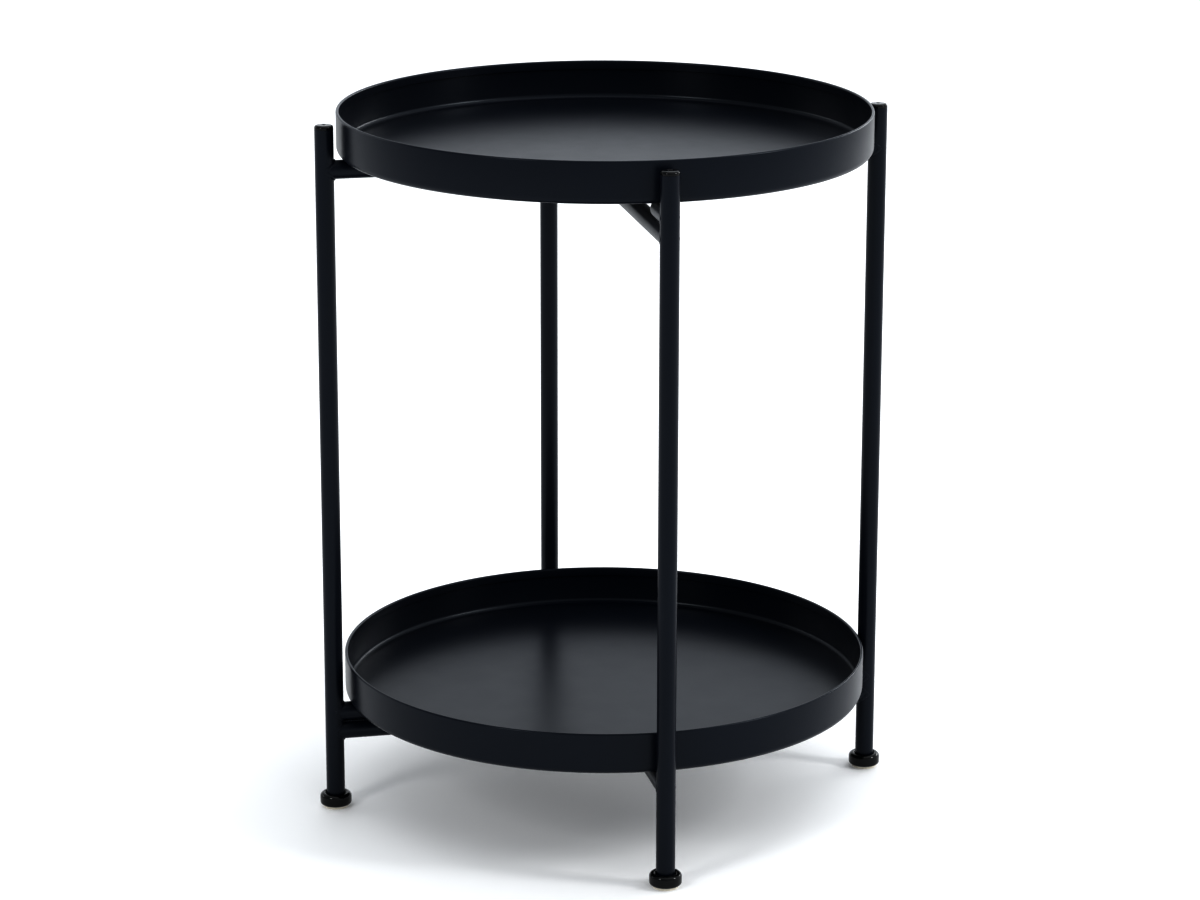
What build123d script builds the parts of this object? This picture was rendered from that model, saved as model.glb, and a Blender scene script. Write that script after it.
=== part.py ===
from build123d import *
import os
from math import cos, radians, sin

# Folding two-tier side table, millimetres, +Z up.
# The origin is on the floor, straight below the pivots. The outer frame's legs stand on the
# X axis and carry the fixed half; the inner frame's legs stand on the Y axis and swing about Z.

# Trays
tray_radius = 200.0
tray_wall = 1.0
tray_height = 31.2
tray_corner = 5.0
hem_thickness = 2.4
hem_depth = 7.0
upper_tray_z = 505.7
lower_tray_z = 83.9
rest_gap = 0.3

# Tube frames
tube_radius = 7.0
tube_wall = 1.2
leg_circle = 211.0
leg_top_z = 529.0
rest_inner_end = 174.0

# Feet and leg plugs
pad_radius = 9.6
pad_height = 2.0
cap_radius = 12.0
cap_floor = 2.0
cap_skirt = 6.2
cap_bottom_round = 2.2
cap_crown_round = 3.0
cap_inner_round = 1.2
plug_height = 3.0
plug_round = 1.9
plug_stem_radius = 5.7
plug_stem_length = 12.0
plug_rib_height = 8.0
plug_taper = 0.75

# Pivots: one bolt through the crossing of the two bars of each tier
bar_gap = 0.9
seat_depth = 2.4
seat_length = 22.0
bolt_radius = 3.0
pivot_clearance = 0.08
head_radius = 5.0
head_height = 1.9
socket_flats = 4.0
socket_depth = 1.1
play = 0.2
spacer_radius = 7.5
spacer_height = 0.5
nut_washer_radius = 5.6
nut_washer_height = 1.0
nut_flats = 10.0
nut_height = 5.0
nut_collar_radius = 4.3
nut_collar_height = 1.4
bolt_tail = 1.2

# Derived heights
bar_step = 2 * tube_radius + bar_gap
upper_rest_z = upper_tray_z - rest_gap - tube_radius
lower_rest_z = lower_tray_z - rest_gap - tube_radius
leg_bottom_z = pad_height + cap_floor
cap_top_z = pad_height + cap_skirt + cap_crown_round
seat_level = tube_radius - seat_depth

# Where the four legs stand, and which frame each belongs to
outer_turns = {"left": 180.0, "right": 0.0}
inner_turns = {"front": -90.0, "back": 90.0}
leg_turns = {**outer_turns, **inner_turns}


def at_leg(shape, turn):
    """A shape made on the Z axis, moved out to the leg that stands at this turn about Z."""
    return Rot(0, 0, turn) * Pos(leg_circle, 0, 0) * shape


def upright(radius, low, high):
    """A solid round bar on the Z axis between two heights."""
    return Pos(0, 0, low) * Cylinder(radius, high - low, align=(Align.CENTER, Align.CENTER, Align.MIN))


def lying(radius, low, high):
    """A solid round bar on the X axis between two places."""
    return Pos(low, 0, 0) * Rot(0, 90, 0) * upright(radius, 0, high - low)


def turned(outline):
    """The solid that a closed outline in the XZ plane sweeps about the Z axis."""
    return revolve(make_face(outline), Axis.Z)


def path(*points):
    """Straight edges through (radius, height) points in the XZ plane."""
    return Polyline(*[(radius, 0, height) for radius, height in points])


def quarter(centre, radius, first_angle, last_angle):
    """An arc about a (radius, height) centre in the XZ plane, between two angles in degrees."""
    angles = [radians(angle) for angle in (first_angle, (first_angle + last_angle) / 2, last_angle)]
    points = [(centre[0] + radius * cos(angle), 0, centre[1] + radius * sin(angle)) for angle in angles]
    return ThreePointArc(*points)


def tray():
    """A pressed dish with an upright wall, its edge folded inwards into a round-topped hem."""
    inner = tray_radius - tray_wall
    hem_inner = tray_radius - hem_thickness
    hem_round = hem_thickness / 2
    hem_low = tray_height - hem_depth
    bend = (tray_radius - tray_corner, tray_corner)
    outline = [
        path((0, tray_wall), (0, 0), (bend[0], 0)),
        quarter(bend, tray_corner, -90, 0),
        path((tray_radius, tray_corner), (tray_radius, tray_height - hem_round)),
        quarter((tray_radius - hem_round, tray_height - hem_round), hem_round, 0, 180),
        path(
            (hem_inner, tray_height - hem_round),
            (hem_inner, hem_low),
            (inner, hem_low),
            (inner, tray_corner),
        ),
        quarter(bend, tray_corner - tray_wall, 0, -90),
        path((bend[0], tray_wall), (0, tray_wall)),
    ]
    return turned(outline)


def leg():
    """A round tube, open at both ends, that stands in its foot cap."""
    tube = upright(tube_radius, leg_bottom_z, leg_top_z)
    return tube - upright(tube_radius - tube_wall, leg_bottom_z, leg_top_z)


def crossbar(z, turn, seat_side):
    """A tube between two legs, its ends cut to fit round them, with a flat pressed at the pivot.

    seat_side is 1 where the flat is on top, for the bolt's head, and -1 where it is underneath,
    for the nut.
    """
    bar = lying(tube_radius, -leg_circle, leg_circle)
    bar -= lying(tube_radius - tube_wall, -leg_circle, leg_circle)
    for end in (-leg_circle, leg_circle):
        bar -= Pos(end, 0, 0) * upright(tube_radius, -2 * tube_radius, 2 * tube_radius)
    block_length = seat_length + 2 * tube_wall
    block = lying(tube_radius, -block_length / 2, block_length / 2)
    floor_level = seat_side * (seat_level - tube_wall + tube_radius)
    block &= Pos(0, 0, floor_level) * Box(block_length, 2 * tube_radius, 2 * tube_radius)
    bar += block
    pocket = Box(seat_length, 4 * tube_radius, 2 * tube_radius)
    bar -= Pos(0, 0, seat_side * (seat_level + tube_radius)) * pocket
    bar -= upright(bolt_radius + pivot_clearance, -2 * tube_radius, 2 * tube_radius)
    return Rot(0, 0, turn) * Pos(0, 0, z) * bar


def tray_rest(z, turn):
    """A short closed tube on the inner side of a leg, which holds the tray level with the bars."""
    tip = rest_inner_end + tube_radius
    stub = lying(tube_radius, tip, leg_circle)
    stub += Pos(tip, 0, 0) * Sphere(tube_radius)
    bore = lying(tube_radius - tube_wall, tip, leg_circle)
    bore += Pos(tip, 0, 0) * Sphere(tube_radius - tube_wall)
    stub -= bore
    stub -= Pos(leg_circle, 0, 0) * upright(tube_radius, -2 * tube_radius, 2 * tube_radius)
    return Rot(0, 0, turn) * Pos(0, 0, z) * stub


def leg_plug():
    """A domed button that closes a leg's top, with a ribbed stem inside the tube."""
    top = leg_top_z + plug_height
    shoulder = (tube_radius - plug_round, top - plug_round)
    stem_end = leg_top_z - plug_stem_length
    slim_radius = plug_stem_radius - plug_taper
    outline = [
        path(
            (0, top),
            (0, stem_end),
            (slim_radius - plug_taper, stem_end),
            (slim_radius, stem_end + 2 * plug_taper),
            (slim_radius, leg_top_z - plug_rib_height),
            (plug_stem_radius, leg_top_z - plug_rib_height),
            (plug_stem_radius, leg_top_z),
            (tube_radius, leg_top_z),
            (tube_radius, shoulder[1]),
        ),
        quarter(shoulder, plug_round, 0, 90),
        path((shoulder[0], top), (0, top)),
    ]
    return turned(outline)


def foot_cap():
    """A squat moulded foot with a doughnut-shaped crown, which the leg stands in."""
    low = pad_height
    skirt_top = low + cap_skirt
    crest_radius = cap_radius - cap_crown_round
    crest_inner = crest_radius - cap_inner_round
    outline = [
        path((0, leg_bottom_z), (0, low), (cap_radius - cap_bottom_round, low)),
        quarter((cap_radius - cap_bottom_round, low + cap_bottom_round), cap_bottom_round, -90, 0),
        path((cap_radius, low + cap_bottom_round), (cap_radius, skirt_top)),
        quarter((crest_radius, skirt_top), cap_crown_round, 0, 90),
        quarter((crest_radius, cap_top_z - cap_inner_round), cap_inner_round, 90, 180),
        path(
            (crest_inner, cap_top_z - cap_inner_round),
            (tube_radius, cap_top_z - cap_inner_round),
            (tube_radius, leg_bottom_z),
            (0, leg_bottom_z),
        ),
    ]
    return turned(outline)


def foot_pad():
    """A thin glide disc under the foot cap."""
    disc = upright(pad_radius, 0, pad_height)
    return chamfer(disc.edges().sort_by(Axis.Z)[0], pad_height / 4)


def washer(radius, low, height):
    """A flat ring round the pivot bolt."""
    return upright(radius, low, low + height) - upright(bolt_radius + pivot_clearance, low, low + height)


def hexagon(across_flats, low, height):
    """A six-sided bar on the Z axis."""
    outline = RegularPolygon(across_flats / 2, 6, major_radius=False)
    return extrude(Pos(0, 0, low) * outline, height)


def pivot(top_bar_z):
    """The bolt, spacer, washer and lock nut of one pivot, by name, under the bar on top."""
    head_low = top_bar_z + seat_level + play
    lower_bar_z = top_bar_z - bar_step
    washer_top = lower_bar_z - seat_level - play
    nut_top = washer_top - nut_washer_height
    nut_low = nut_top - nut_height
    collar_low = nut_low - nut_collar_height
    head = upright(head_radius, head_low, head_low + head_height)
    head = fillet(head.edges().group_by(Axis.Z)[-1], head_height / 2)
    head -= hexagon(socket_flats, head_low + head_height - socket_depth, socket_depth)
    shank = upright(bolt_radius, collar_low - bolt_tail, head_low)
    shank = chamfer(shank.edges().group_by(Axis.Z)[0], bolt_tail / 3)
    spacer_low = top_bar_z - tube_radius - bar_gap / 2 - spacer_height / 2
    nut = hexagon(nut_flats, nut_low, nut_height) + upright(nut_collar_radius, collar_low, nut_low)
    return {
        "pivot_bolt": head + shank,
        "pivot_spacer": washer(spacer_radius, spacer_low, spacer_height),
        "nut_washer": washer(nut_washer_radius, nut_top, nut_washer_height),
        "lock_nut": nut - upright(bolt_radius, collar_low, nut_top),
    }


parts = {
    "upper_tray": Pos(0, 0, upper_tray_z) * tray(),
    "lower_tray": Pos(0, 0, lower_tray_z) * tray(),
    "outer_upper_bar": crossbar(upper_rest_z, 0, 1),
    "inner_upper_bar": crossbar(upper_rest_z - bar_step, 90, -1),
    "inner_lower_bar": crossbar(lower_rest_z, 90, 1),
    "outer_lower_bar": crossbar(lower_rest_z - bar_step, 0, -1),
}

for side, turn in leg_turns.items():
    parts[f"{side}_leg"] = at_leg(leg(), turn)
    parts[f"{side}_leg_plug"] = at_leg(leg_plug(), turn)
    parts[f"{side}_foot_cap"] = at_leg(foot_cap(), turn)
    parts[f"{side}_foot_pad"] = at_leg(foot_pad(), turn)

for side, turn in outer_turns.items():
    parts[f"{side}_lower_tray_rest"] = tray_rest(lower_rest_z, turn)

for side, turn in inner_turns.items():
    parts[f"{side}_upper_tray_rest"] = tray_rest(upper_rest_z, turn)

for tier, top_bar_z in {"upper": upper_rest_z, "lower": lower_rest_z}.items():
    for piece, shape in pivot(top_bar_z).items():
        parts[f"{tier}_{piece}"] = shape

os.makedirs("parts", exist_ok=True)
for node, shape in parts.items():
    shape.label = node
    export_step(shape, f"parts/{node}.step")
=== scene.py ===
import math

import bmesh
import bpy
import numpy as np
from mathutils import Matrix, Vector, noise


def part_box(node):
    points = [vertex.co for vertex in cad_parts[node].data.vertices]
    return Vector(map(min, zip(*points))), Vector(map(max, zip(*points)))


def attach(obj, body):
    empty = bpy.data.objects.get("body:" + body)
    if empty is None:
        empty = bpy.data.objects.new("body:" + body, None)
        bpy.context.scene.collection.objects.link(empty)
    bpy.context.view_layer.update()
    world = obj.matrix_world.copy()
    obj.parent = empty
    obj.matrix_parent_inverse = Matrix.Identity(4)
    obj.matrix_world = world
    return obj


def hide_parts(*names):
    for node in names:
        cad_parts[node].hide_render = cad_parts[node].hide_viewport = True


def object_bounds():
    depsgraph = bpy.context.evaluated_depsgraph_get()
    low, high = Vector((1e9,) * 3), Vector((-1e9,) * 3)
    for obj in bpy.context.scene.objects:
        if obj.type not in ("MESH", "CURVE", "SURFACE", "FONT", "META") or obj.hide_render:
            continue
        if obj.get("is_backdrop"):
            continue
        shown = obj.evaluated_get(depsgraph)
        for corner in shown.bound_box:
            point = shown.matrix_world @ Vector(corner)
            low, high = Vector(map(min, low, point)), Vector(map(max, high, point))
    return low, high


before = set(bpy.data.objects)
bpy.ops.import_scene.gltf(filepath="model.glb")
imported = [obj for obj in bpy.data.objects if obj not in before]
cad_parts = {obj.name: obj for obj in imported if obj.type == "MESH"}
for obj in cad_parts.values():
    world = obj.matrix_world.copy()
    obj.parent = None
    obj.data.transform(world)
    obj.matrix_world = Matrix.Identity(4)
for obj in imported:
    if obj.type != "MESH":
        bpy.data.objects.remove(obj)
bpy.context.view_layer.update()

# Lengths are in metres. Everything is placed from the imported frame's own boxes.
MM = 0.001

# The camera: where it stands round the table, how far out and how high, and how it is turned
CAMERA_AZIMUTH = -12.34
CAMERA_REACH = 2.787
CAMERA_HEIGHT = 1.066
CAMERA_PITCH = 15.9
CAMERA_AIM = 0.07
CAMERA_ROLL = 0.1
CAMERA_LENS = 114.06
SENSOR_WIDTH = 36.0

# Trays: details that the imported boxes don't tell
SHEET = 1.0 * MM
TRAY_CORNER = 5.0 * MM
HEM_THICKNESS = 2.4 * MM
HEM_DEPTH = 7.0 * MM
FLOOR_WAVE = 0.1 * MM
WAVES_PER_METRE = 9

# Tubes, the flats pressed into the bars, and the welds
TUBE_RADIUS = 7.0 * MM
TUBE_WALL = 1.2 * MM
SEAT_DEPTH = 2.4 * MM
SEAT_REACH = 9.0 * MM
SEAT_RAMP = 6.0 * MM
SEAT_SOFTNESS = 0.25 * MM
HOLE_RADIUS = 3.08 * MM
WELD_HEIGHT = 0.8 * MM
WELD_WIDTH = 1.3 * MM
WELD_RIPPLES = 34
SEAM_WIDTH = 3.4 * MM
SEAM_BITE = 0.75 * MM
SEAM_RIPPLE = 1.9 * MM

# Foot caps, glide pads and leg plugs
CAP_FLOOR = 2.0 * MM
CAP_BOTTOM_ROUND = 2.2 * MM
CAP_CROWN_ROUND = 3.0 * MM
CAP_INNER_ROUND = 1.2 * MM
PAD_EDGE = 0.5 * MM
PLUG_HEIGHT = 3.0 * MM
PLUG_ROUND = 1.9 * MM
PLUG_EDGE = 0.3 * MM
PLUG_MIDDLE = 2.6 * MM
PLUG_STEM_RADIUS = 5.7 * MM
PLUG_TAPER = 0.75 * MM
PLUG_RIB_HEIGHT = 8.0 * MM
PLUG_TIP_HEIGHT = 10.5 * MM
GATE_RADIUS = 0.9 * MM
GATE_DEPTH = 0.25 * MM

# The pivots' bolts and lock nuts
BOLT_RADIUS = 3.0 * MM
HEAD_HEIGHT = 1.9 * MM
HEAD_EDGE = 0.25 * MM
SOCKET_RADIUS = 2.0 * MM
SOCKET_RIM = 2.5 * MM
SOCKET_DEPTH = 1.1 * MM
SOCKET_BEVEL = 0.2 * MM
TAIL_BEVEL = 0.4 * MM
THREAD_PITCH = 1.0 * MM
THREAD_DEPTH = 0.5 * MM
THREAD_LENGTH = 9.0 * MM
NUT_BEVEL = 0.55 * MM
BORE_BEVEL = 0.3 * MM
COLLAR_RADIUS = 4.3 * MM
COLLAR_HEIGHT = 1.4 * MM
COLLAR_LIP = 0.24 * MM
INSERT_DEPTH = 0.9 * MM

# Light levels, and the contrast of the finished picture
# Along each axis of the surroundings: where a fade begins and ends, and its strength at both ends
WORLD_FADES = {
    "Y": (-0.6, 0.8, 0.85, 1.40),
    "Z": (0.10, 0.70, 1.20, 0.90),
    "X": (-0.9, 0.8, 0.55, 1.25),
}
SUN_POWER = 0.8
# The place, power, width and height of each softbox
SOFTBOXES = {
    "left_softbox": ((-2.1, -1.6, 1.8), 20, 0.5, 0.8),
    "right_softbox": ((2.3, -1.3, 1.9), 30, 0.5, 0.9),
    "left_kicker": ((-2.4, 1.7, 1.15), 7, 1.6, 0.4),
    "right_kicker": ((2.5, 1.6, 1.15), 20, 1.6, 0.4),
}
FLOOR_GLOW = 0.15
PICTURE_GAMMA = 0.61

# The trays, each with the seed of its floor's unevenness
TRAYS = {"upper_tray": 3, "lower_tray": 11}
# The legs, each with its body, and where each stands from the table's axis
LEGS = {"left": "outer_frame", "right": "outer_frame", "front": "inner_frame", "back": "inner_frame"}
DIRECTIONS = {"left": (-1, 0, 0), "right": (1, 0, 0), "front": (0, -1, 0), "back": (0, 1, 0)}
# The bars, each with a leg at its end, and 1 where its pressed flat is on top or -1 where it is underneath
BARS = {
    "outer_upper_bar": ("right", 1),
    "outer_lower_bar": ("right", -1),
    "inner_upper_bar": ("back", -1),
    "inner_lower_bar": ("back", 1),
}
# The tray rests, each with the bar under it
RESTS = {
    "left_lower_tray_rest": "outer_lower_bar",
    "right_lower_tray_rest": "outer_lower_bar",
    "front_upper_tray_rest": "inner_upper_bar",
    "back_upper_tray_rest": "inner_upper_bar",
}


# ---------------------------------------------------------------- materials


class Look:
    """A material being built. Node inputs are given as numbers, colours or other nodes' sockets."""

    def __init__(self, name):
        self.material = bpy.data.materials.new(name)
        self.material.use_nodes = True
        self.tree = self.material.node_tree
        self.shader = self.tree.nodes["Principled BSDF"]
        self.place = self.add("ShaderNodeTexCoord").outputs["Object"]

    def add(self, kind, inputs=None, **settings):
        node = self.tree.nodes.new(kind)
        for key, value in settings.items():
            setattr(node, key, value)
        for key, value in (inputs or {}).items():
            self.feed(node.inputs[key], value)
        return node

    def feed(self, socket, value):
        if isinstance(value, bpy.types.NodeSocket):
            self.tree.links.new(value, socket)
        else:
            socket.default_value = value

    def surface(self, **inputs):
        """Sets the shader's own inputs; an underscore stands for a space in a name."""
        for key, value in inputs.items():
            self.feed(self.shader.inputs[key.replace("_", " ")], value)

    def noise(self, scale, detail=2.0, distortion=0.0, stretch=None):
        place = self.place
        if stretch:
            place = self.add("ShaderNodeMapping", {"Vector": place, "Scale": stretch}).outputs[0]
        inputs = {"Vector": place, "Scale": scale, "Detail": detail, "Distortion": distortion}
        return self.add("ShaderNodeTexNoise", inputs).outputs["Fac"]

    def spread(self, value, low, high, to_low=0.0, to_high=1.0):
        inputs = {"Value": value, "From Min": low, "From Max": high, "To Min": to_low, "To Max": to_high}
        return self.add("ShaderNodeMapRange", inputs).outputs[0]

    def maths(self, operation, first, second):
        node = self.add("ShaderNodeMath", operation=operation)
        self.feed(node.inputs[0], first)
        self.feed(node.inputs[1], second)
        return node.outputs[0]

    def blend(self, factor, first, second):
        node = self.add("ShaderNodeMix", data_type="RGBA")
        self.feed(node.inputs["Factor"], factor)
        self.feed(node.inputs["A"], first)
        self.feed(node.inputs["B"], second)
        return node.outputs["Result"]

    def bump(self, height, distance, normal=None):
        inputs = {"Height": height, "Distance": distance, "Strength": 1.0}
        if normal:
            inputs["Normal"] = normal
        return self.add("ShaderNodeBump", inputs).outputs[0]


def grey(value, warmth=0.0):
    """An opaque near-grey colour, cooler where warmth is below zero."""
    return (value * (1 + warmth), value, value * (1 - 1.6 * warmth), 1.0)


def powder_coat(name, roughness):
    """Satin black powder coat: orange-peel bump, uneven tone and gloss, dust specks and soft scuffs."""
    look = Look(name)
    clouds = look.noise(7.0, 3.0, 0.4)
    patches = look.noise(46.0, 4.0)
    tint = look.blend(look.spread(clouds, 0.3, 0.7), (0.0034, 0.0058, 0.0125, 1), (0.0044, 0.0072, 0.0150, 1))
    dust = look.spread(look.noise(2600.0, 1.0), 0.74, 0.79)
    tint = look.blend(look.maths("MULTIPLY", dust, 0.25), tint, (0.030, 0.033, 0.038, 1))
    scuffs = look.spread(look.noise(150.0, 5.0, 1.2, (1.0, 1.0, 0.25)), 0.62, 0.72)
    tint = look.blend(look.maths("MULTIPLY", scuffs, 0.10), tint, (0.014, 0.017, 0.022, 1))
    gloss = look.spread(patches, 0.3, 0.7, roughness - 0.012, roughness + 0.012)
    gloss = look.maths("ADD", gloss, look.maths("MULTIPLY", scuffs, 0.015))
    peel = look.bump(look.noise(620.0, 2.0), 0.020 * MM)
    peel = look.bump(look.noise(3400.0, 1.0), 0.004 * MM, peel)
    look.surface(Base_Color=tint, Roughness=gloss, Normal=peel, Specular_IOR_Level=0.31)
    look.surface(Specular_Tint=(0.88, 0.95, 1.0, 1.0))
    return look.material


def gloss_plastic(name):
    """Black moulded plastic with a wet gloss, faint flow marks and a few rubbed patches."""
    look = Look(name)
    rub = look.spread(look.noise(210.0, 5.0, 0.8), 0.55, 0.75)
    tint = look.blend(look.spread(look.noise(60.0, 2.0), 0.3, 0.7), grey(0.0025, -0.2), grey(0.0045, -0.1))
    tint = look.blend(look.maths("MULTIPLY", rub, 0.3), tint, grey(0.015))
    gloss = look.spread(look.noise(90.0), 0.3, 0.7, 0.09, 0.14)
    gloss = look.maths("ADD", gloss, look.maths("MULTIPLY", rub, 0.10))
    flow = look.bump(look.noise(420.0, 3.0, 0.6), 0.012 * MM)
    look.surface(Base_Color=tint, Roughness=gloss, Normal=flow, Specular_IOR_Level=0.36)
    return look.material


def glide_felt(name):
    """Off-white pressed felt, with short fibres and grubbier patches."""
    look = Look(name)
    fibres = look.noise(2300.0, 6.0, 1.5)
    mottle = look.noise(240.0, 4.0)
    tint = look.blend(look.spread(fibres, 0.3, 0.7), (0.62, 0.57, 0.47, 1), (0.86, 0.83, 0.75, 1))
    tint = look.blend(look.spread(mottle, 0.45, 0.8, 0.0, 0.5), tint, (0.50, 0.45, 0.36, 1))
    look.surface(Base_Color=tint, Roughness=0.92, Normal=look.bump(fibres, 0.12 * MM), Sheen_Weight=0.3)
    return look.material


def zinc(name):
    """Bright zinc plate: fine turning lines, cloudy gloss and duller spots."""
    look = Look(name)
    lines = look.noise(900.0, 2.0, 0.0, (1.0, 1.0, 9.0))
    cloud = look.noise(260.0, 4.0)
    tint = look.blend(look.spread(cloud, 0.35, 0.7), (0.50, 0.52, 0.54, 1), (0.68, 0.69, 0.70, 1))
    gloss = look.spread(cloud, 0.3, 0.75, 0.24, 0.42)
    look.surface(Base_Color=tint, Metallic=1.0, Roughness=gloss, Normal=look.bump(lines, 0.01 * MM))
    return look.material


def nylon(name, light, dark):
    """Natural or dyed nylon, slightly waxy, with faint mould texture."""
    look = Look(name)
    mottle = look.noise(330.0, 3.0)
    tint = look.blend(look.spread(mottle, 0.3, 0.7), dark, light)
    gloss = look.spread(mottle, 0.3, 0.7, 0.42, 0.55)
    look.surface(Base_Color=tint, Roughness=gloss, Normal=look.bump(look.noise(1500.0), 0.01 * MM))
    return look.material


def studio_floor(name):
    """A plain pale floor, lit a little from within like a product table, with the faintest unevenness."""
    look = Look(name)
    tint = look.blend(look.noise(1.3, 3.0), (0.80, 0.80, 0.80, 1), (0.84, 0.84, 0.84, 1))
    look.surface(Base_Color=tint, Roughness=0.75, Normal=look.bump(look.noise(220.0, 2.0), 0.02 * MM))
    look.surface(Emission_Color=(1.0, 1.0, 1.0, 1.0), Emission_Strength=FLOOR_GLOW)
    return look.material


# ---------------------------------------------------------------- mesh building


def add_piece(name, vertices, faces, material, body=None, replaced=(), crease=None):
    """A smooth-shaded mesh object, which rides on a body and may stand for CAD nodes.

    Edges that turn by more degrees than crease stay sharp.
    """
    mesh = bpy.data.meshes.new(name)
    mesh.from_pydata([tuple(v) for v in vertices], [], [tuple(f) for f in faces])
    shape = bmesh.new()
    shape.from_mesh(mesh)
    bmesh.ops.recalc_face_normals(shape, faces=shape.faces)
    shape.to_mesh(mesh)
    shape.free()
    mesh.shade_smooth()
    if crease:
        mesh.set_sharp_from_angle(angle=math.radians(crease))
    mesh.materials.append(material)
    piece = bpy.data.objects.new(name, mesh)
    bpy.context.scene.collection.objects.link(piece)
    if body:
        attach(piece, body)
    if replaced:
        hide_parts(*replaced)
    return piece


def arc(centre, radius, first, last, steps):
    """(radius, height) points on an arc about a centre, its angles in degrees.

    Where one arc runs on from another, the second begins a few degrees late, so that no point comes twice.
    """
    angles = np.radians(np.linspace(first, last, steps + 1))
    return [(centre[0] + radius * math.cos(a), centre[1] + radius * math.sin(a)) for a in angles]


def lathe(outline, segments, centre=(0.0, 0.0), reach=None):
    """The vertices and faces of an outline swept round a vertical axis.

    An outline that starts and ends on the axis is closed there; any other one is closed as a ring.
    reach may give another radius than the outline's, from the radius, the height and the angle.
    """
    vertices, rings = [], []
    for radius, height in outline:
        first = len(vertices)
        if radius < 1e-9:
            vertices.append((centre[0], centre[1], height))
            rings.append([first] * segments)
            continue
        for step in range(segments):
            angle = math.tau * step / segments
            out = reach(radius, height, angle) if reach else radius
            vertices.append((centre[0] + out * math.cos(angle), centre[1] + out * math.sin(angle), height))
        rings.append(list(range(first, first + segments)))
    on_axis = outline[0][0] < 1e-9
    pairs = list(zip(rings, rings[1:])) + ([] if on_axis else [(rings[-1], rings[0])])
    faces = []
    for low, high in pairs:
        for step in range(segments):
            after = (step + 1) % segments
            face = [low[step], low[after], high[after], high[step]]
            face = list(dict.fromkeys(face))
            if len(face) > 2:
                faces.append(face)
    return vertices, faces


def washer_outline(inner, outer, low, high, edge):
    """The section of a flat ring whose edges are rounded."""
    outline = arc((outer - edge, low + edge), edge, -90, 0, 5)
    outline += arc((outer - edge, high - edge), edge, 0, 90, 5)
    outline += arc((inner + edge, high - edge), edge, 90, 180, 5)
    outline += arc((inner + edge, low + edge), edge, 180, 270, 5)
    return outline


def hexagon_reach(half_flats, angle):
    """How far a hexagon with a corner at angle 0 reaches at another angle."""
    return half_flats / math.cos(angle % (math.pi / 3) - math.pi / 6)


def tube_faces(rings, around, first=0, closed=True):
    """The faces of a tube whose vertices lie ring by ring from the first one on.

    A closed tube's last ring joins its first.
    """
    faces = []
    for ring in range(rings if closed else rings - 1):
        here = first + ring * around
        there = first + (ring + 1) % rings * around
        for turn in range(around):
            after = (turn + 1) % around
            faces.append((here + turn, here + after, there + after, there + turn))
    return faces


def sweep(path, normals, heights, widths, around):
    """The vertices and faces of a closed bead along a closed path.

    Its section is an ellipse, half as high as heights says along the normals and as widths across them.
    """
    path, normals = np.array(path, float), np.array(normals, float)
    ahead = np.roll(path, -1, 0) - np.roll(path, 1, 0)
    across = np.cross(ahead, normals)
    across /= np.linalg.norm(across, axis=1)[:, None]
    turns = [math.tau * turn / around for turn in range(around)]
    vertices = [
        centre + height * math.cos(turn) * normal + width * math.sin(turn) * side
        for centre, normal, side, height, width in zip(path, normals, across, heights, widths)
        for turn in turns
    ]
    return vertices, tube_faces(len(path), around)


# ---------------------------------------------------------------- pieces


def tray_outline(radius, height):
    """Half of a tray's section from its underside round the folded hem and back over its floor."""
    fold = HEM_THICKNESS / 2
    gap = HEM_THICKNESS - 2 * SHEET
    return_outer = radius - SHEET - gap
    return_inner = radius - HEM_THICKNESS
    hem_low = height - HEM_DEPTH
    bend = (radius - TRAY_CORNER, TRAY_CORNER)
    rings = np.linspace(0, bend[0], 34)
    outline = [(r, 0.0) for r in rings[:-1]]
    outline += arc(bend, TRAY_CORNER, -90, 0, 10)
    outline += arc((radius - fold, height - fold), fold, 0, 180, 14)
    lip = SHEET / 2
    outline += arc((return_inner + lip, hem_low + lip), lip, 180, 360, 8)
    outline += arc((return_outer + gap / 2, height - fold - gap / 2), gap / 2, 180, 0, 6)
    outline += arc(bend, TRAY_CORNER - SHEET, 0, -90, 10)
    outline += [(r, SHEET) for r in rings[-2::-1]]
    return outline


def make_tray(node, seed, material):
    """A pressed tray whose floor is very slightly uneven, as thin sheet is."""
    low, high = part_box(node)
    radius = (high.x - low.x) / 2
    vertices, faces = lathe(tray_outline(radius, high.z - low.z), segments=320)
    vertices = np.array(vertices)
    reach = np.hypot(vertices[:, 0], vertices[:, 1])
    flat = (reach < radius - TRAY_CORNER) & (vertices[:, 2] < 2 * SHEET)
    for index in np.nonzero(flat)[0]:
        x, y = vertices[index, :2] * WAVES_PER_METRE
        fade = 1 - (reach[index] / (radius - TRAY_CORNER)) ** 4
        vertices[index, 2] += FLOOR_WAVE * fade * noise.noise(Vector((x, y, seed)))
    vertices[:, 2] += low.z
    add_piece(f"{node}_pressing", vertices, faces, material, node, [node])


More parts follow.
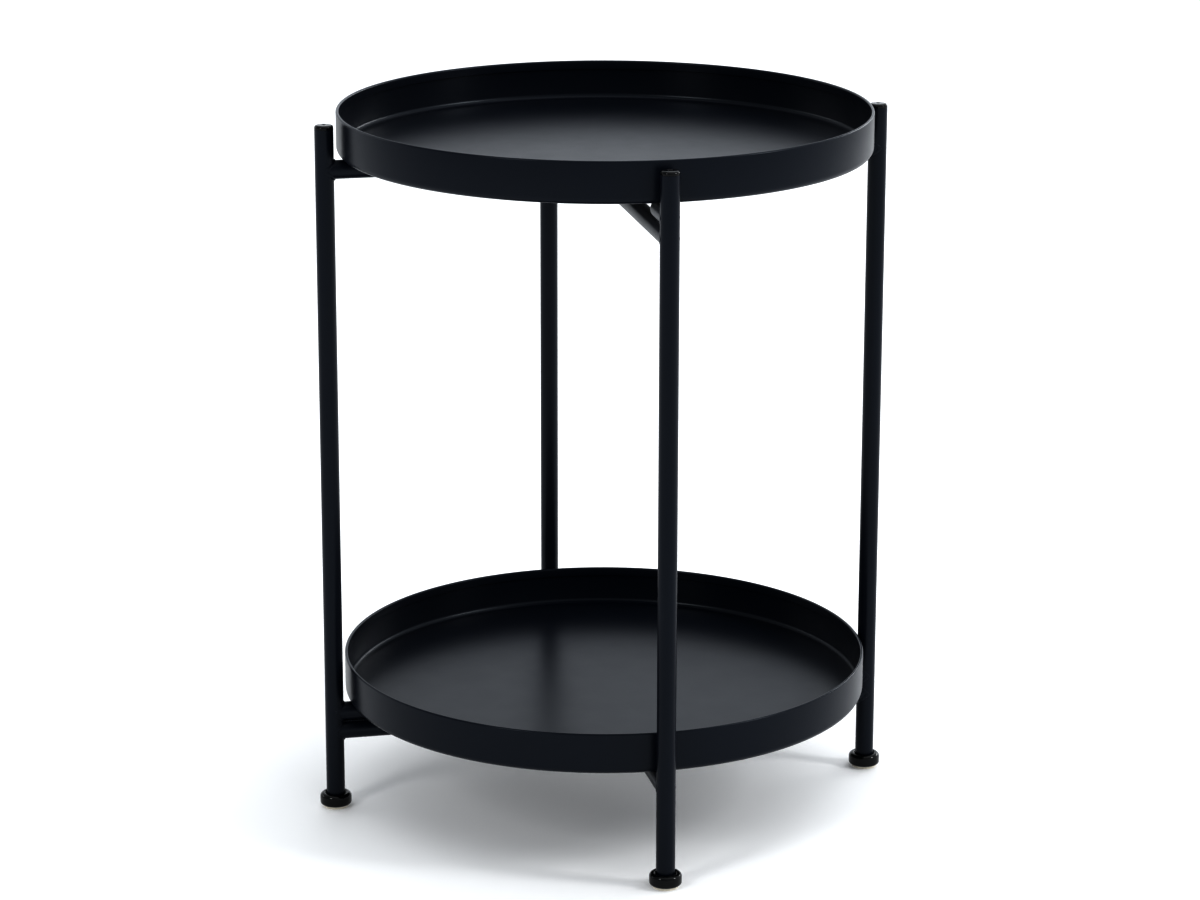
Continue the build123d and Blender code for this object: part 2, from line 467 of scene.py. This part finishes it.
def make_foot(side, body, plastic, felt):
    """The moulded foot cap of one leg, with its doughnut-shaped crown, and the glide pad under it."""
    low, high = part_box(f"{side}_foot_cap")
    pad_low, pad_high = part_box(f"{side}_foot_pad")
    centre = ((low.x + high.x) / 2, (low.y + high.y) / 2)
    radius = (high.x - low.x) / 2
    base = (radius - CAP_BOTTOM_ROUND, low.z + CAP_BOTTOM_ROUND)
    crown = (radius - CAP_CROWN_ROUND, high.z - CAP_CROWN_ROUND)
    inner = (crown[0], high.z - CAP_INNER_ROUND)
    outline = [(0.0, low.z)]
    outline += arc(base, CAP_BOTTOM_ROUND, -90, 0, 10)
    outline += arc(crown, CAP_CROWN_ROUND, 0, 90, 18)
    outline += arc(inner, CAP_INNER_ROUND, 96, 180, 8)
    outline += [(TUBE_RADIUS, inner[1]), (TUBE_RADIUS, low.z + CAP_FLOOR), (0.0, low.z + CAP_FLOOR)]
    vertices, faces = lathe(outline, segments=96, centre=centre)
    add_piece(f"{side}_foot_moulding", vertices, faces, plastic, body, [f"{side}_foot_cap"])

    pad_radius = (pad_high.x - pad_low.x) / 2
    pad_middle = 0.6 * pad_radius
    rim = pad_radius - PAD_EDGE
    outline = [(0.0, pad_low.z), (pad_middle, pad_low.z)]
    outline += arc((rim, pad_low.z + PAD_EDGE), PAD_EDGE, -90, 0, 5)
    outline += arc((rim, pad_high.z - PAD_EDGE), PAD_EDGE, 0, 90, 5)
    outline += [(pad_middle, pad_high.z), (0.0, pad_high.z)]
    vertices, faces = lathe(outline, segments=72, centre=centre)
    add_piece(f"{side}_foot_felt", vertices, faces, felt, body, [f"{side}_foot_pad"])


def make_plug(side, body, plastic):
    """The domed plug in a leg's top, with a shallow gate mark, and its stem inside the tube."""
    low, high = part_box(f"{side}_leg_plug")
    centre = ((low.x + high.x) / 2, (low.y + high.y) / 2)
    radius = (high.x - low.x) / 2
    seat = high.z - PLUG_HEIGHT
    rib_low = seat - PLUG_RIB_HEIGHT
    slim = PLUG_STEM_RADIUS - PLUG_TAPER
    outline = [(0.0, high.z - GATE_DEPTH)]
    outline += arc((GATE_RADIUS, high.z), GATE_DEPTH, 270, 360, 4)
    outline += [(PLUG_MIDDLE, high.z)]
    outline += arc((radius - PLUG_ROUND, high.z - PLUG_ROUND), PLUG_ROUND, 84, 0, 12)
    outline += arc((radius - PLUG_EDGE, seat + PLUG_EDGE), PLUG_EDGE, 0, -90, 4)
    outline += [(PLUG_STEM_RADIUS, seat), (PLUG_STEM_RADIUS, rib_low), (slim, rib_low)]
    outline += [(slim, seat - PLUG_TIP_HEIGHT), (slim - PLUG_TAPER, low.z), (0.0, low.z)]
    vertices, faces = lathe(outline, segments=80, centre=centre)
    add_piece(f"{side}_plug_moulding", vertices, faces, plastic, body, [f"{side}_leg_plug"])


def leg_reach():
    """How far the legs' middles stand from the table's axis."""
    low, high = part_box("right_leg")
    return (low.x + high.x) / 2


def pressed(rise, along, wall):
    """The height of a tube wall's point above its middle, once the flat is pressed into the tube."""
    part = min(max((SEAT_REACH + SEAT_RAMP - abs(along)) / SEAT_RAMP, 0.0), 1.0)
    part = part * part * (3 - 2 * part)
    spare = 4 * SEAT_SOFTNESS
    level = TUBE_RADIUS + spare - part * (SEAT_DEPTH + spare) - wall
    return -SEAT_SOFTNESS * math.log(math.exp(-rise / SEAT_SOFTNESS) + math.exp(-level / SEAT_SOFTNESS))


def drill(piece):
    """Cuts the pivot bolt's hole through a bar."""
    low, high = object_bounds()
    outline = [(0.0, low.z), (HOLE_RADIUS, low.z), (HOLE_RADIUS, high.z), (0.0, high.z)]
    vertices, faces = lathe(outline, segments=64)
    mesh = bpy.data.meshes.new("drill")
    mesh.from_pydata(vertices, [], faces)
    cutter = bpy.data.objects.new("drill", mesh)
    bpy.context.scene.collection.objects.link(cutter)
    hole = piece.modifiers.new("hole", "BOOLEAN")
    hole.object = cutter
    hole.solver = "EXACT"
    drilled = piece.evaluated_get(bpy.context.evaluated_depsgraph_get())
    drilled = bpy.data.meshes.new_from_object(drilled)
    piece.modifiers.remove(hole)
    bpy.data.objects.remove(cutter)
    piece.data = drilled


def make_bar(node, body, towards, seat_side, material):
    """A tube between two legs, cut to fit round them, with a flat pressed in for the bolt or nut."""
    low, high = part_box(node)
    height = (low.z + high.z) / 2
    along = Vector(towards)
    across = Vector((-along.y, along.x, 0))
    far = leg_reach()
    fine = np.linspace(0, SEAT_REACH + SEAT_RAMP + 1.0 * MM, 34)
    coarse = np.linspace(fine[-1], far, 14)
    half = [*fine, *coarse[1:]]
    stations = [-place for place in reversed(half)] + half[1:]
    around = 72
    vertices = []
    for wall, places in ((0.0, stations), (TUBE_WALL, stations[::-1])):
        radius = TUBE_RADIUS - wall
        for place in places:
            for turn in (math.tau * step / around for step in range(around)):
                side = radius * math.sin(turn)
                end = far - math.sqrt(TUBE_RADIUS**2 - side**2)
                rise = seat_side * pressed(radius * math.cos(turn), place, wall)
                vertices.append(along * (place * end / far) + across * side + Vector((0, 0, height + rise)))
    faces = tube_faces(2 * len(stations), around)
    drill(add_piece(f"{node}_tube", vertices, faces, material, body, [node], crease=50))


def make_weld(name, node, body, towards, seed, material):
    """A smooth painted weld where a tube meets the round side of a leg of the same diameter.

    towards is the leg's direction from the table's axis, along the tube.
    """
    low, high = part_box(node)
    height = (low.z + high.z) / 2
    reach = leg_reach()
    along = Vector(towards)
    across = Vector((-along.y, along.x, 0))
    steps = 200
    slim = 0.3
    path, normals, heights, widths = [], [], [], []
    for turn in (math.tau * step / steps for step in range(steps)):
        side, rise = math.cos(turn), math.sin(turn)
        depth = abs(rise)
        normal = (across * 2 * side - along * depth + Vector((0, 0, rise))).normalized()
        place = along * (reach - TUBE_RADIUS * depth) + across * TUBE_RADIUS * side
        place += Vector((0, 0, height + TUBE_RADIUS * rise))
        swell = 1 + 0.10 * noise.noise(Vector((2 * side, 2 * rise, seed)))
        swell += 0.03 * math.sin(WELD_RIPPLES * turn)
        path.append(place + normal * slim * WELD_HEIGHT * depth)
        normals.append(normal)
        heights.append(WELD_HEIGHT * (slim + (1 - slim) * depth) * swell)
        widths.append(WELD_WIDTH * swell)
    vertices, faces = sweep(path, normals, heights, widths, around=14)
    add_piece(name, vertices, faces, material, body)


def make_seam(name, rest, bar, body, towards, seed, material):
    """The painted weld that fills the narrow gap between a tray rest and the bar under it.

    It starts just inside the rest's round end and stops at the leg.
    """
    rest_low, rest_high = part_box(rest)
    _, bar_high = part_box(bar)
    gap = rest_low.z - bar_high.z
    height = (rest_low.z + bar_high.z) / 2
    along = Vector(towards)
    across = Vector((-along.y, along.x, 0))
    reaches = sorted(abs(corner.dot(along)) for corner in (rest_low, rest_high))
    first, last = reaches[0] + 0.8 * TUBE_RADIUS, reaches[1] - 0.2 * MM
    steps, around = 110, 20
    vertices = [along * first + Vector((0, 0, height))]
    for step in range(steps + 1):
        reach = first + (last - first) * step / steps
        swell = 1 + 0.05 * math.sin(math.tau * reach / SEAM_RIPPLE)
        swell += 0.12 * noise.noise(Vector((300 * reach, seed, 0)))
        swell *= min(1.0, 0.35 + step / 10)
        for turn in (math.tau * place / around for place in range(around)):
            side = across * (SEAM_WIDTH * swell * math.cos(turn))
            rise = (gap / 2 + SEAM_BITE) * swell * math.sin(turn)
            vertices.append(along * reach + side + Vector((0, 0, height + rise)))
    vertices.append(along * last + Vector((0, 0, height)))
    head, tail, tip = 1, 1 + steps * around, len(vertices) - 1
    faces = [(0, head + turn, head + (turn + 1) % around) for turn in range(around)]
    faces += tube_faces(steps + 1, around, first=head, closed=False)
    faces += [(tail + turn, tail + (turn + 1) % around, tip) for turn in range(around)]
    add_piece(name, vertices, faces, material, body)


def make_bolt(tier, material):
    """The pivot bolt: a low round head with a hexagon socket, a plain shank and a threaded end."""
    node = f"{tier}_pivot_bolt"
    low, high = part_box(node)
    head_radius = (high.x - low.x) / 2
    head_low = high.z - HEAD_HEIGHT
    crown = HEAD_HEIGHT / 2
    thread_low = low.z + TAIL_BEVEL
    thread_high = low.z + THREAD_LENGTH
    thread_rows = round(10 * THREAD_LENGTH / THREAD_PITCH)
    socket_low = high.z - SOCKET_DEPTH

    def reach(radius, height, angle):
        if height > head_low and radius < SOCKET_RIM:
            return hexagon_reach(radius, angle)
        if thread_low <= height <= thread_high:
            groove = abs(2 * ((height / THREAD_PITCH + angle / math.tau) % 1) - 1)
            return radius - THREAD_DEPTH * groove
        return radius

    outline = [(0.0, low.z), (BOLT_RADIUS - THREAD_DEPTH, low.z)]
    outline += [(BOLT_RADIUS, height) for height in np.linspace(thread_low, thread_high, thread_rows)]
    outline += [(BOLT_RADIUS, thread_high + THREAD_DEPTH), (BOLT_RADIUS, head_low)]
    outline += arc((head_radius - HEAD_EDGE, head_low + HEAD_EDGE), HEAD_EDGE, -90, 0, 4)
    outline += arc((head_radius - crown, high.z - crown), crown, 0, 90, 10)
    outline += [(BOLT_RADIUS, high.z), (SOCKET_RADIUS + SOCKET_BEVEL, high.z)]
    outline += [(SOCKET_RADIUS, high.z - SOCKET_BEVEL), (SOCKET_RADIUS, socket_low)]
    outline += [(0.0, socket_low - SOCKET_BEVEL)]
    vertices, faces = lathe(outline, segments=72, reach=reach)
    add_piece(
        f"{tier}_pivot_screw", vertices, faces, material, "outer_frame", [node], crease=40
    )


def make_nut(tier, material, insert):
    """The lock nut: chamfered corners, and a collar rolled over a nylon ring round the bolt's tail."""
    node = f"{tier}_lock_nut"
    low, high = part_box(node)
    half_flats = (high.y - low.y) / 2
    corner = (high.x - low.x) / 2
    hexagon_low = low.z + COLLAR_HEIGHT
    round_end = half_flats - 0.15 * MM
    bore = BOLT_RADIUS + 0.04 * MM
    insert_top = low.z + INSERT_DEPTH
    insert_radius = COLLAR_RADIUS - 2 * COLLAR_LIP

    def reach(radius, _, angle):
        return min(radius, hexagon_reach(half_flats, angle))

    outline = [(bore, insert_top), (insert_radius, insert_top)]
    outline += arc((COLLAR_RADIUS - COLLAR_LIP, low.z + COLLAR_LIP), COLLAR_LIP, 180, 360, 8)
    outline += [(COLLAR_RADIUS, hexagon_low - 0.3 * MM), (COLLAR_RADIUS + 0.12 * MM, hexagon_low)]
    cone = [(part, round_end + part * (corner - round_end)) for part in np.linspace(0, 1, 8)]
    outline += [(radius, hexagon_low + part * NUT_BEVEL) for part, radius in cone]
    outline += [(radius, high.z - part * NUT_BEVEL) for part, radius in reversed(cone)]
    outline += [(bore + BORE_BEVEL, high.z), (bore, high.z - BORE_BEVEL)]
    vertices, faces = lathe(outline, segments=96, reach=reach)
    add_piece(
        f"{tier}_nut_body", vertices, faces, material, "outer_frame", [node], crease=35
    )

    clear = 0.02 * MM
    outline = washer_outline(bore, insert_radius - clear, low.z + 0.05 * MM, insert_top - clear, 0.15 * MM)
    vertices, faces = lathe(outline, segments=64)
    add_piece(f"{tier}_nut_insert", vertices, faces, insert, "outer_frame")


def make_washer(node, edge, material):
    """A flat ring round the pivot bolt, with softened edges."""
    low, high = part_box(node)
    outline = washer_outline(HOLE_RADIUS, (high.x - low.x) / 2, low.z, high.z, edge)
    vertices, faces = lathe(outline, segments=80)
    add_piece(f"{node}_ring", vertices, faces, material, "outer_frame", [node])


def dress(node, material):
    """Gives a CAD node its finish."""
    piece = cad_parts[node]
    for slot in piece.material_slots:
        slot.material = material


# ---------------------------------------------------------------- the studio


def add_floor():
    """The floor that the table stands on, which isn't part of it."""
    reach = 16.0
    corners = [(-reach, -reach, 0.0), (reach, -reach, 0.0), (reach, reach, 0.0), (-reach, reach, 0.0)]
    floor = add_piece("studio_floor", corners, [(0, 1, 2, 3)], studio_floor("studio_floor"))
    floor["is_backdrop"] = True


def add_lamp(name, kind, place, power, **settings):
    """A soft light that faces the middle of the table."""
    light = bpy.data.lights.new(name, kind)
    light.energy = power
    for key, value in settings.items():
        setattr(light, key, value)
    lamp = bpy.data.objects.new(name, light)
    bpy.context.scene.collection.objects.link(lamp)
    lamp.location = place
    lamp.rotation_mode = "QUATERNION"
    lamp.rotation_quaternion = (Vector((0.0, 0.0, 0.3)) - Vector(place)).to_track_quat("-Z", "Y")


def light_room():
    """Pale surroundings, brightest low down behind the table and to its right, a wide sun and softboxes."""
    world = bpy.data.worlds.new("studio")
    bpy.context.scene.world = world
    world.use_nodes = True
    tree = world.node_tree
    background = tree.nodes["Background"]
    background.inputs["Color"].default_value = (0.93, 0.965, 1.0, 1.0)
    place = tree.nodes.new("ShaderNodeTexCoord").outputs["Generated"]
    split = tree.nodes.new("ShaderNodeSeparateXYZ")
    tree.links.new(place, split.inputs[0])
    strength = None
    for axis, (first, last, low, high) in WORLD_FADES.items():
        fade = tree.nodes.new("ShaderNodeMapRange")
        tree.links.new(split.outputs[axis], fade.inputs["Value"])
        for key, value in {"From Min": first, "From Max": last, "To Min": low, "To Max": high}.items():
            fade.inputs[key].default_value = value
        if strength is None:
            strength = fade.outputs[0]
            continue
        product = tree.nodes.new("ShaderNodeMath")
        product.operation = "MULTIPLY"
        tree.links.new(strength, product.inputs[0])
        tree.links.new(fade.outputs[0], product.inputs[1])
        strength = product.outputs[0]
    tree.links.new(strength, background.inputs["Strength"])
    add_lamp("overhead_sun", "SUN", (0.5, -0.5, 4.0), SUN_POWER, angle=math.radians(70))
    for name, (place, power, width, height) in SOFTBOXES.items():
        add_lamp(name, "AREA", place, power, shape="RECTANGLE", size=width, size_y=height)
    bpy.context.scene.view_settings.view_transform = "Standard"
    bpy.context.scene.view_settings.gamma = PICTURE_GAMMA


def place_camera():
    """The camera, in front of the table, a little to its left and above it."""
    camera = bpy.data.cameras.new("camera")
    camera.sensor_width = SENSOR_WIDTH
    camera.lens = CAMERA_LENS
    camera.clip_end = 60.0
    stand = bpy.data.objects.new("camera", camera)
    bpy.context.scene.collection.objects.link(stand)
    turn = math.radians(CAMERA_AZIMUTH)
    place = Vector((CAMERA_REACH * math.sin(turn), -CAMERA_REACH * math.cos(turn), CAMERA_HEIGHT))
    heading = Matrix.Rotation(math.radians(CAMERA_AZIMUTH + CAMERA_AIM), 4, "Z")
    pitch = Matrix.Rotation(math.radians(90 - CAMERA_PITCH), 4, "X")
    roll = Matrix.Rotation(math.radians(CAMERA_ROLL), 4, "Z")
    stand.matrix_world = Matrix.Translation(place) @ heading @ pitch @ roll
    bpy.context.scene.camera = stand


# ---------------------------------------------------------------- assembly

tray_coat = powder_coat("tray_powder_coat", 0.29)
frame_coat = powder_coat("frame_powder_coat", 0.31)
plastic = gloss_plastic("black_gloss_plastic")
felt = glide_felt("off_white_felt")
plated = zinc("zinc_plate")
natural_nylon = nylon("natural_nylon", (0.80, 0.78, 0.70, 1), (0.66, 0.63, 0.54, 1))
blue_nylon = nylon("blue_nylon", (0.05, 0.14, 0.36, 1), (0.03, 0.09, 0.26, 1))

for node, seed in TRAYS.items():
    make_tray(node, seed, tray_coat)

for side, body in LEGS.items():
    dress(f"{side}_leg", frame_coat)
    make_foot(side, body, plastic, felt)
    make_plug(side, body, plastic)

for seed, (bar, (end, seat_side)) in enumerate(BARS.items()):
    make_bar(bar, LEGS[end], DIRECTIONS[end], seat_side, frame_coat)
    for side, body in LEGS.items():
        if body == LEGS[end]:
            make_weld(f"{bar}_{side}_weld", bar, body, DIRECTIONS[side], 10 + seed, frame_coat)

for seed, (rest, bar) in enumerate(RESTS.items()):
    side = rest.split("_")[0]
    dress(rest, frame_coat)
    make_seam(f"{side}_rest_seam", rest, bar, LEGS[side], DIRECTIONS[side], 30 + seed, frame_coat)
    make_weld(f"{side}_rest_weld", rest, LEGS[side], DIRECTIONS[side], 20 + seed, frame_coat)

for tier in ("upper", "lower"):
    make_bolt(tier, plated)
    make_nut(tier, plated, blue_nylon)
    make_washer(f"{tier}_nut_washer", 0.15 * MM, plated)
    make_washer(f"{tier}_pivot_spacer", 0.12 * MM, natural_nylon)

add_floor()
light_room()
place_camera()
